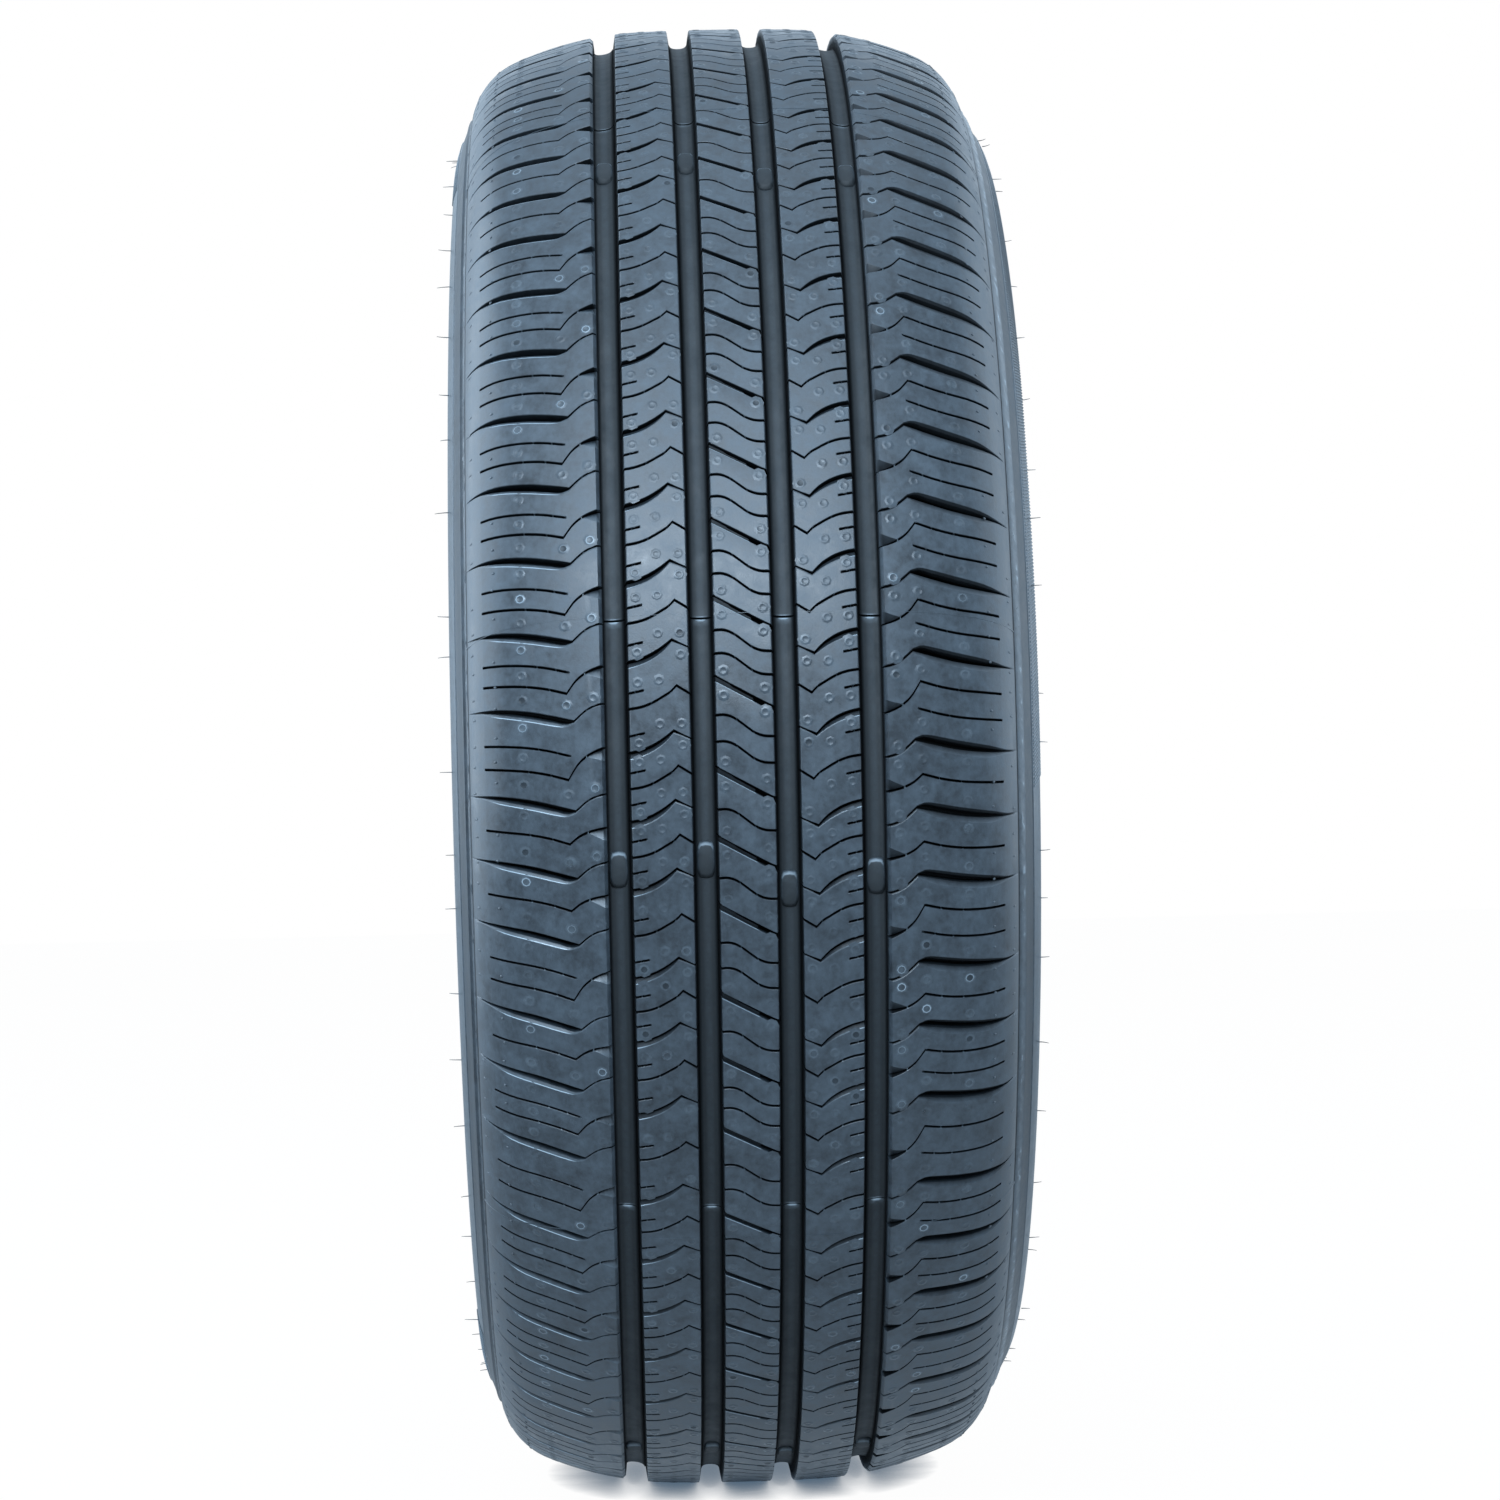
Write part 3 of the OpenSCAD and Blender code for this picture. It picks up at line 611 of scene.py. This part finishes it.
# One row's vent marks. A mark's place round the tread is its pitch's start plus the shift, plus its share of
# the pitch and its length beyond. The marks get a pale painted highlight of uneven strengths, which also
# makes them smoother, and a few get a painted shade in the middle, as in a hole.
def buildVents(name, row):
    spec, across, lengths = ventSpec, [], []
    shift, marks = spec["rows"][row]
    for v, share, beyond, wanted in marks:
        used = np.isin(pitchKind, [kinds.index(c) for c in wanted])
        lengths.append((pitchStart + shift + share * pitchLength + beyond)[used])
        across.append(np.full(used.sum(), float(v)))
    v, s = np.concatenate(across), np.concatenate(lengths)
    random = np.random.default_rng(len(v))
    most = spec["shoulders"] if row.startswith("shoulder") else spec["ribs"]
    strength = random.uniform(*spec["strength"], len(v)) ** spec["power"] * most
    isDark = random.random(len(v)) < spec["darkShare"]
    middle = -np.minimum(strength, spec["middle"]) * random.uniform(0.0, spec["middle"], len(v))
    middle = np.where(isDark, spec["dark"], middle)
    shade = np.stack([0 * strength, spec["lipShade"] * strength, -strength, middle], -1)
    return shaded(roundMarks(name, v, s, spec["lip"], spec["sides"]), np.repeat(shade, spec["sides"], -1))


# Pips: small beads in two rows round each shoulder, evenly apart but for a jitter, with some left out. A row
# is a distance and a shift.
pipSpec = {
    "apart": 10.0, "rows": [(-97.4, 0.0), (-106.2, 4.0), (97.4, 3.0), (106.2, 7.0)], "kept": 0.75,
    "profile": [(0.62, -0.1), (0.5, 0.16), (0.22, 0.3)], "sides": 6, "jitter": (0.3, 1.6), "seed": 3,
}


def buildPips(name):
    spec, random = pipSpec, np.random.default_rng(pipSpec["seed"])
    count = int(treadTotal / spec["apart"])
    start = np.arange(count) * treadTotal / count
    v = np.concatenate([np.full(count, row) for row, shift in spec["rows"]])
    s = np.concatenate([start + shift for row, shift in spec["rows"]])
    keep = random.random(len(v)) < spec["kept"]
    v, s = (values + random.uniform(-most, most, len(v)) for values, most in zip((v, s), spec["jitter"]))
    return roundMarks(name, v[keep], s[keep], spec["profile"], spec["sides"])


# Seams: thin lines that the joints between the mould's parts leave across every rib. Each runs through
# distances across and lengths round the tread, with its half width and height, and stands up in a knot at the
# ridge. Its section is that of "shape": a share of the half width, and a height where it is above zero or
# else the root.
seamSpec = {
    "places": [9.6, 54.6, 99.6, 144.6, 189.6, 234.6, 279.6, 324.6], "steps": 6, "root": -0.12, "shade": -0.45,
    "shape": [(-1.0, False), (-0.7, True), (0.7, True), (1.0, False)],
    "runs": [
        [(-108.6, 6.0, 0.45, 0.5), (-107.6, 5.9, 0.3, 0.3), (-104, 4.2, 0.14, 0.1), (-92, 1.6, 0.14, 0.1),
         (-75, 0.2, 0.12, 0.07), (-55.8, 0.0, 0.1, 0.06)],
        [(-44.6, 0.0, 0.1, 0.06), (-33, 0.0, 0.1, 0.06), (-21.5, 0.0, 0.1, 0.06)],
        [(-10.9, 0.2, 0.1, 0.06), (0, 0.0, 0.1, 0.06), (10.9, -0.4, 0.1, 0.06)],
        [(21.5, 0.0, 0.1, 0.06), (33, 0.0, 0.1, 0.06), (44.6, 0.0, 0.1, 0.06)],
        [(55.8, -0.2, 0.1, 0.06), (75, 0.2, 0.12, 0.07), (92, 1.2, 0.14, 0.1), (104, 2.8, 0.14, 0.1),
         (107.6, 3.6, 0.3, 0.3), (108.6, 3.8, 0.45, 0.5)],
    ],
}


def buildSeams(name):
    spec, points, quads, count = seamSpec, [], [], 0
    share, raised = np.array(spec["shape"]).T
    turns = (math.radians(tyreSpec["firstAngle"]) - np.radians(spec["places"])) / (2 * math.pi)
    start = (turns * treadTotal)[:, None, None]
    for run in spec["runs"]:
        run = np.array(run, float)
        v = np.linspace(run[0, 0], run[-1, 0], spec["steps"] * (len(run) - 1) + 1)[:, None]
        s, half, high = (np.interp(v, run[:, 0], run[:, i]) for i in (1, 2, 3))
        radius = crownRadius(v) + np.where(raised > 0, high, spec["root"])
        tube = placed(radius, v, angleOf(start + s + half * share))
        quads.append(tubeQuads(tube) + count)
        points.append(tube.reshape(-1, 3))
        count += len(points[-1])
    piece = builtMesh(name, np.concatenate(points), np.concatenate(quads), 40)
    # The seams are painted pale all over, a painted highlight.
    return shaded(piece, np.full(count, spec["shade"]))


# Parting bead: the rough strip that the mould leaves beside each ridge, a ring whose section gives a share of
# the half width and one of the height. The height and the painted light change along it by noise smoothed
# over
# two lines: a painted shade along its foot and painted highlights on its crest, strong enough on the right to
# go over into painted glints.
beadSpec = {
    "lines": 1100, "drop": {-1: 3.2, 1: 4.2}, "half": {-1: 1.2, 1: 2.3}, "height": 0.3, "rough": 0.4,
    "shape": [(-1.0, -0.6), (-0.75, 0.3), (-0.25, 0.8), (0.25, 0.7), (0.75, 0.3), (1.0, -0.6)],
    "pale": {-1: 0.6, 1: 1.6}, "foot": 0.55, "crest": (0.8, 0.25, 1.6), "seed": 11,
}


def buildPartingBead(name, side):
    spec, random = beadSpec, np.random.default_rng(beadSpec["seed"] + side)
    share, high = np.array(spec["shape"]).T
    rough = random.normal(0, 1, (spec["lines"], len(share)))
    rough = (rough + np.roll(rough, 1, 0)) * 0.5 * spec["rough"]
    lift = high * (spec["height"] + np.abs(rough))
    radius, across = onSide(side, spec["drop"][side] + share * spec["half"][side], lift)
    angle = np.linspace(0, 2 * math.pi, spec["lines"], endpoint=False)[:, None]
    least, more, most = spec["crest"]
    crest = least + more * np.clip(np.abs(rough) / spec["rough"], 0, most)
    shade = spec["foot"] - crest * spec["pale"][side] * (1 - np.abs(share) ** 3)
    return shaded(closedGrid(name, placed(radius, across, angle)), shade)


# Hatch: a band of fine slanting ridges on part of a sidewall's panel. Each is a three-sided prism that
# follows the panel down and leans by a fixed length for each millimetre of height. A span is its last and
# first angle.
hatchSpec = {
    "apart": 1.5, "half": 0.66, "lean": 0.55, "height": 0.42, "sink": 0.12, "shades": (0.9, -1.3, 0.9),
    "drops": [14.9, 15.1, 19.0, 22.5, 24.9, 25.1], "crest": [0.0, 1.0, 1.0, 1.0, 1.0, 0.0],
    "spans": {1: [(150, -3), (-100, -205)], -1: [(200, 60), (-60, -160)]},
}


def buildHatch(name, side):
    spec, drop = hatchSpec, np.array(hatchSpec["drops"])[:, None]
    radius, across = onSide(side, drop)
    step = spec["apart"] / radius.mean()
    spans = np.radians(spec["spans"][side])
    angle = np.concatenate([np.arange(last, first, step) for first, last in spans])[:, None, None]
    share, high = np.array([[-1.0, 0.0, 1.0], [0.0, 1.0, 0.0]])
    lift = high * (spec["height"] + spec["sink"]) * np.array(spec["crest"])[:, None] - spec["sink"]
    turn = share * spec["half"] + (drop - drop[0]) * spec["lean"]
    points = placed(radius, across + side * lift, angle + turn / radius.mean())
    size = drop.size * 3
    ends = np.array([[2, 1, 0], [size - 3, size - 2, size - 1]]) + size * np.arange(len(angle))[:, None, None]
    piece = builtMesh(name, points.reshape(-1, 3), tubeQuads(points), 25, ends.reshape(-1, 3))
    # Each ridge's base is painted dark and its crest pale: painted shade between the ridges, a painted
    # highlight on top.
    return shaded(piece, np.broadcast_to(spec["shades"], points.shape[:-1]))


# Vent hairs: thin tapering stems on the sidewalls, at uneven places round the tyre. A hair runs outward by
# its length times t and bends by the square of t, up or down by its droop and round the tyre by its lean.
hairSpec = {
    "apart": 31.0, "thick": 0.22, "taper": 0.55, "root": 0.8, "length": (2.5, 5.2), "shorter": 0.78,
    "radii": (274.0, 284.0), "droop": (-0.25, 0.35), "lean": (-0.15, 0.15), "jitter": (-0.04, 0.04),
    "sides": 6, "rings": 5, "seed": 8,
}


def buildHairs(name):
    spec, random = hairSpec, np.random.default_rng(hairSpec["seed"])
    count = int(2 * math.pi * tyreSpec["widestR"] / spec["apart"])

    # An uneven value for each hair, between the two that the settings give.
    def drawn(key):
        return random.uniform(*spec[key], 2 * count)[:, None, None]

    side = np.repeat([-1.0, 1.0], count)[:, None, None]
    angle = np.tile(np.arange(count) * 2 * math.pi / count, 2)[:, None, None] + drawn("jitter")
    radius, length = drawn("radii"), drawn("length") * np.where(side > 0, spec["shorter"], 1.0)
    droop, lean = drawn("droop") * length, drawn("lean") * length
    widest = tyreSpec["halfW"] + np.where(side > 0, casingSpec["bulge"][1], casingSpec["bulge"][-1])
    t = np.linspace(0, 1, spec["rings"])[:, None]
    turn = np.linspace(0, 2 * math.pi, spec["sides"], endpoint=False)
    thick = spec["thick"] * (1 - spec["taper"] * t)
    out = radius + droop * t ** 2 + thick * np.cos(turn)
    aside = lean * t ** 2 + thick * np.sin(turn)
    points = placed(out, side * (widest + length * t - spec["root"] * (1 - t)), angle + aside / out)
    return builtMesh(name, points.reshape(-1, 3), tubeQuads(points), 60)


pieces = [
    buildRib("shoulderLeft", shoulderSpec, -1, shoulderFeatures),
    buildRib("shoulderRight", shoulderSpec, 1, shoulderFeatures),
    buildRib("ribSecond", ribSpec, -1, ribFeatures),
    buildRib("ribFourth", ribSpec, 1, ribFeatures),
    buildRib("ribMiddle", middleSpec, 0, middleFeatures),
    buildCasing("casing"),
    buildBars("wearBars"),
]
pieces += [buildVents(row + "Vents", row) for row in ventSpec["rows"]]
pieces += [
    buildPips("pips"),
    buildSeams("seams"),
    buildPartingBead("beadLeft", -1),
    buildPartingBead("beadRight", 1),
    buildHatch("hatchLeft", -1),
    buildHatch("hatchRight", 1),
    buildHairs("hairs"),
]
counts = [len(piece.data.loops) - 2 * len(piece.data.polygons) for piece in pieces]  # in triangles
print("pieces built", sum(counts), dict(zip([piece.name for piece in pieces], counts)))


# A value in a shader: operators make Math nodes, and node() makes any other node with its settings and
# inputs.
class Wire:
    def __init__(self, tree, socket=None):
        self.tree, self.socket = tree, socket

    def math(self, operation, other=None, swap=False):
        values = [other, self] if swap else [self, other]
        inputs = {i: value for i, value in enumerate(values) if value is not None}
        return self.node("ShaderNodeMath", {"operation": operation}, inputs)

    def __add__(self, other):
        return self.math("ADD", other)

    def __radd__(self, other):
        return self.math("ADD", other, True)

    def __sub__(self, other):
        return self.math("SUBTRACT", other)

    def __rsub__(self, other):
        return self.math("SUBTRACT", other, True)

    def __mul__(self, other):
        return self.math("MULTIPLY", other)

    def __rmul__(self, other):
        return self.math("MULTIPLY", other, True)

    def atLeast(self, least):
        return self.math("MAXIMUM", least)

    def atMost(self, most):
        return self.math("MINIMUM", most)

    def node(self, kind, settings, inputs, output=0):
        node = self.tree.nodes.new(kind)
        for name, value in settings.items():
            setattr(node, name, value)
        for name, value in inputs.items():
            if isinstance(value, Wire):
                self.tree.links.new(value.socket, node.inputs[name])
            else:
                node.inputs[name].default_value = value
        return Wire(self.tree, node.outputs[output])

    # Other outputs of the node that this value comes from.
    def others(self, *names):
        return [Wire(self.tree, self.socket.node.outputs[name]) for name in names]

    # Mix of two colours with this value as its factor.
    def mixed(self, first, second, blend="MIX"):
        settings = {"data_type": "RGBA", "blend_type": blend}
        return self.node("ShaderNodeMix", settings, {0: self, 6: first, 7: second}, 2)

    def noise(self, scale, detail, roughness):
        inputs = {"Vector": self, "Scale": scale, "Detail": detail, "Roughness": roughness}
        return self.node("ShaderNodeTexNoise", {}, inputs)


# A new material, with a wire to start its nodes from and its own shader.
def newMaterial(name):
    material = bpy.data.materials.new(name)
    material.use_nodes = True
    return material, Wire(material.node_tree), material.node_tree.nodes["Principled BSDF"]


# Links a material's surface to a mix of two shaders by a factor.
def finishMaterial(material, factor, first, second):
    mixed = factor.node("ShaderNodeMixShader", {}, {0: factor, 1: first, 2: second})
    material.node_tree.links.new(mixed.socket, material.node_tree.nodes["Material Output"].inputs["Surface"])


# Moulded rubber: a cool grey whose shade drifts with noise of three scales, with a fine grain in its gloss
# and surface. The drift is a sum of each noise times its weight, less a level. Groove floors are duller and
# get a darker painted shade, from a depth below the crown that is the outer radius less the reach from the
# axle and less the crown's fall, by v squared. The painted shade of each piece's points blackens its cuts and
# walls, and its painted highlight makes places pale and smoother and goes over into a painted glint.
rubberSpec = {
    # "deep" is the floors' painted shade and "black" that of cuts and walls, "pale" and "glint" are painted
    # highlights, and "dark" and "light" bound the rubber's own drifting tone.
    "dark": (0.011, 0.016, 0.021, 1), "light": (0.033, 0.047, 0.060, 1), "deep": (0.005, 0.0085, 0.011, 1),
    "black": (0.0012, 0.0017, 0.0022, 1), "pale": (0.055, 0.073, 0.088, 1), "glint": (0.38, 0.46, 0.52, 1),
    "broad": (22.0, 3.0, 0.55), "mottle": (110.0, 4.0, 0.65), "fine": (420.0, 3.0, 0.6),
    "grain": (1500.0, 2.0, 0.5), "drift": (0.9, 2.0, 1.2), "level": 1.55,
    "fall": 700.0, "treadHalf": 0.0557, "sunkFrom": 4.0, "sunkShare": 0.5,
    "roughness": 0.06, "rough": (0.14, 0.34, 0.2), "deepRoughness": 0.3, "paleRoughness": -0.17,
    "paleGrain": (1.4, 0.2), "bump": 0.3, "bumpReach": 0.0001, "blackRoughness": 0.8, "blackGloss": 0.1,
}


def rubber():
    spec = rubberSpec
    material, start, shader = newMaterial("rubber")
    place = start.node("ShaderNodeTexCoord", {}, {}, "Object")
    x, y, z = place.node("ShaderNodeSeparateXYZ", {}, {0: place}).others("X", "Y", "Z")
    reach = (x * x + z * z).math("POWER", 0.5)
    depth = (tyreSpec["outerR"] * mm - reach) * 1000 - y * y * spec["fall"]
    inTread = (y * y).math("LESS_THAN", spec["treadHalf"] ** 2)
    sunk = ((depth - spec["sunkFrom"]) * spec["sunkShare"]).atLeast(0.0).atMost(1.0) * inTread
    shade = start.node("ShaderNodeAttribute", {"attribute_name": "shade"}, {}, "Fac")
    black, pale = shade.atLeast(0.0), (shade * -1.0).atLeast(0.0)
    broad, mottle, fine, grain = (place.noise(*spec[key]) for key in ("broad", "mottle", "fine", "grain"))
    blur = ((fine * spec["paleGrain"][0] - spec["paleGrain"][1]) * pale).atMost(1.0)
    drift = broad * spec["drift"][0] + mottle * spec["drift"][1] + fine * spec["drift"][2] - spec["level"]
    colour = drift.mixed(spec["dark"], spec["light"])
    colour = blur.mixed(sunk.mixed(colour, spec["deep"]), spec["pale"])
    colour = (pale - 1.0).atLeast(0.0).atMost(1.0).mixed(colour, spec["glint"])
    rough = fine * spec["rough"][2] + mottle * spec["rough"][1] + broad * spec["rough"][0] + spec["roughness"]
    rough = rough + sunk * spec["deepRoughness"] + blur * spec["paleRoughness"]
    heights = {"Strength": spec["bump"], "Distance": spec["bumpReach"], "Height": grain + mottle * 2.0}
    bump = grain.node("ShaderNodeBump", {}, heights)
    for name, value in (("Base Color", colour), ("Roughness", rough), ("Normal", bump)):
        material.node_tree.links.new(value.socket, shader.inputs[name])
    # A black shader for the painted shade in cuts and walls.
    paintedShade = start.node("ShaderNodeBsdfPrincipled", {}, {
        "Base Color": spec["black"], "Roughness": spec["blackRoughness"],
        "Specular IOR Level": spec["blackGloss"],
    })
    finishMaterial(material, black, Wire(start.tree, shader.outputs[0]), paintedShade)
    return material


coat = rubber()
for piece in pieces:
    piece.data.materials.append(coat)
    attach(piece, "root")
    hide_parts("tyre")
print("material made")

# Camera at the photograph's place: a long lens nearly level with the axle, turned and rolled a little.
cameraSpec = {"lens": 100.61, "sensor": 36, "away": 1.9602, "turn": 1.574, "roll": -1.316, "across": 0.010804,
              "up": 0.002542, "clip": (0.05, 50)}


# Turns a vector of the upright camera into the tyre's frame: first the roll about the line of sight, then the
# turn, each by the cosine and sine of its angle.
def turned(x, y, z):
    (rollX, rollZ), (turnX, turnY) = toward(cameraSpec["roll"]), toward(cameraSpec["turn"])
    x, z = x * rollX - z * rollZ, x * rollZ + z * rollX
    x, y = x * turnX + y * turnY, -x * turnY + y * turnX
    return Vector((-y, x, z))


camera = bpy.data.objects.new("camera", bpy.data.cameras.new("camera"))
bpy.context.scene.collection.objects.link(camera)
right, ahead, above = turned(1, 0, 0), turned(0, 1, 0), turned(0, 0, 1)
spot = turned(cameraSpec["across"], -cameraSpec["away"], cameraSpec["up"])
camera.matrix_world = Matrix([[right[i], above[i], -ahead[i], spot[i]] for i in range(3)] + [[0, 0, 0, 1]])
camera.data.sensor_width = cameraSpec["sensor"]
camera.data.lens = cameraSpec["lens"]
camera.data.clip_start, camera.data.clip_end = cameraSpec["clip"]
bpy.context.scene.camera = camera
print("camera placed")

# White floor under the foot, soft studio lights and a white surrounding. The camera sees the floor nearly
# white, darker only in a painted shadow where the tyre shuts the light out, and the rubber mirrors it with
# the lights' tint. A light is its name, its place, what it aims at, its width, height and power. Ambient and
# around are the world's levels for plain light and for mirrored light.
stageSpec = {
    "half": 6, "floor": (0.7, 0.7, 0.7, 1), "gloss": 0.35, "shade": (0.08, 0.13, 0.19, 1),
    "shadeReach": 0.011, "shown": 0.98, "mirrored": 0.85, "ambient": 0.52, "around": 1.05,
    "tint": (0.672, 0.835, 1.0), "white": (1, 1, 1, 1),
    "lights": [
        ("front", (2.6, -0.35, 1.25), (0, 0, 0), 2.2, 0.55, 88),
        ("frontHigh", (1.9, -0.2, 2.1), (0, 0, 0), 2.2, 1.2, 45),
        ("above", (0.2, 0.0, 2.6), (0, 0, 0), 2.4, 2.0, 16),
        ("back", (-2.1, 0.0, 1.2), (0, 0, 0.2), 3.0, 0.8, 6),
        ("left", (-0.4, -2.6, 0.7), (0, 0, 0), 3.4, 3.4, 150),
        ("right", (-0.5, 2.6, 0.6), (0, 0, 0), 3.2, 3.4, 60),
    ],
}


# Whether a ray comes from the camera, off a gloss or through glass: one for yes and zero for no, in that
# order.
def rayKinds(start):
    path = start.node("ShaderNodeLightPath", {}, {})
    return path.others("Is Camera Ray", "Is Glossy Ray", "Is Transmission Ray")


# The lights' tint at a level, as a colour.
def tinted(level):
    return (*[level * c for c in stageSpec["tint"]], 1)


# The floor: a square at the foot's height, whose light towards the camera, a gloss or a glass is its own
# glow, with a painted shadow where ambient occlusion finds the tyre close.
def buildFloor():
    spec, half = stageSpec, stageSpec["half"]
    mesh = bpy.data.meshes.new("floor")
    corners = [(-half, -half), (half, -half), (half, half), (-half, half)]
    mesh.from_pydata([(x, y, footZ * mm) for x, y in corners], [], [(0, 1, 2, 3)])
    floor = bpy.data.objects.new("floor", mesh)
    bpy.context.scene.collection.objects.link(floor)
    pale, start, shader = newMaterial("pale")
    shader.inputs["Base Color"].default_value = spec["floor"]
    shader.inputs["Roughness"].default_value = spec["gloss"]
    direct, mirrored, glassy = rayKinds(start)
    clear = start.node("ShaderNodeAmbientOcclusion", {"samples": 16}, {"Distance": spec["shadeReach"]}, "AO")
    colour = mirrored.mixed(clear.mixed(spec["shade"], spec["white"]), tinted(spec["mirrored"]), "MULTIPLY")
    glow = start.node("ShaderNodeEmission", {}, {"Color": colour})
    seen = (direct + mirrored + glassy).atMost(1.0) * spec["shown"]
    finishMaterial(pale, seen, Wire(start.tree, shader.outputs[0]), glow)
    mesh.materials.append(pale)


# The lights: flat lamps, each turned from its place to what it aims at.
def buildLights():
    for name, at, aim, wide, high, power in stageSpec["lights"]:
        lamp = bpy.data.lights.new(name, "AREA")
        lamp.shape, lamp.size, lamp.size_y, lamp.energy = "RECTANGLE", wide, high, power
        lamp.color = stageSpec["tint"]
        holder = bpy.data.objects.new(name, lamp)
        holder.location = at
        holder.rotation_euler = (Vector(aim) - Vector(at)).to_track_quat("-Z", "Y").to_euler()
        bpy.context.scene.collection.objects.link(holder)


# The world: white to the camera and through a glass, and tinted light of its own levels for the rest.
def buildWorld():
    world = bpy.data.worlds.new("world")
    world.use_nodes = True
    bpy.context.scene.world = world
    direct, mirrored, glassy = rayKinds(Wire(world.node_tree))
    around = mirrored.mixed(tinted(stageSpec["ambient"]), tinted(stageSpec["around"]))
    colour = (direct + glassy).atMost(1.0).mixed(around, stageSpec["white"])
    world.node_tree.links.new(colour.socket, world.node_tree.nodes["Background"].inputs["Color"])


buildFloor()
buildLights()
buildWorld()
bpy.context.scene.view_settings.view_transform = "Standard"
print("stage built")
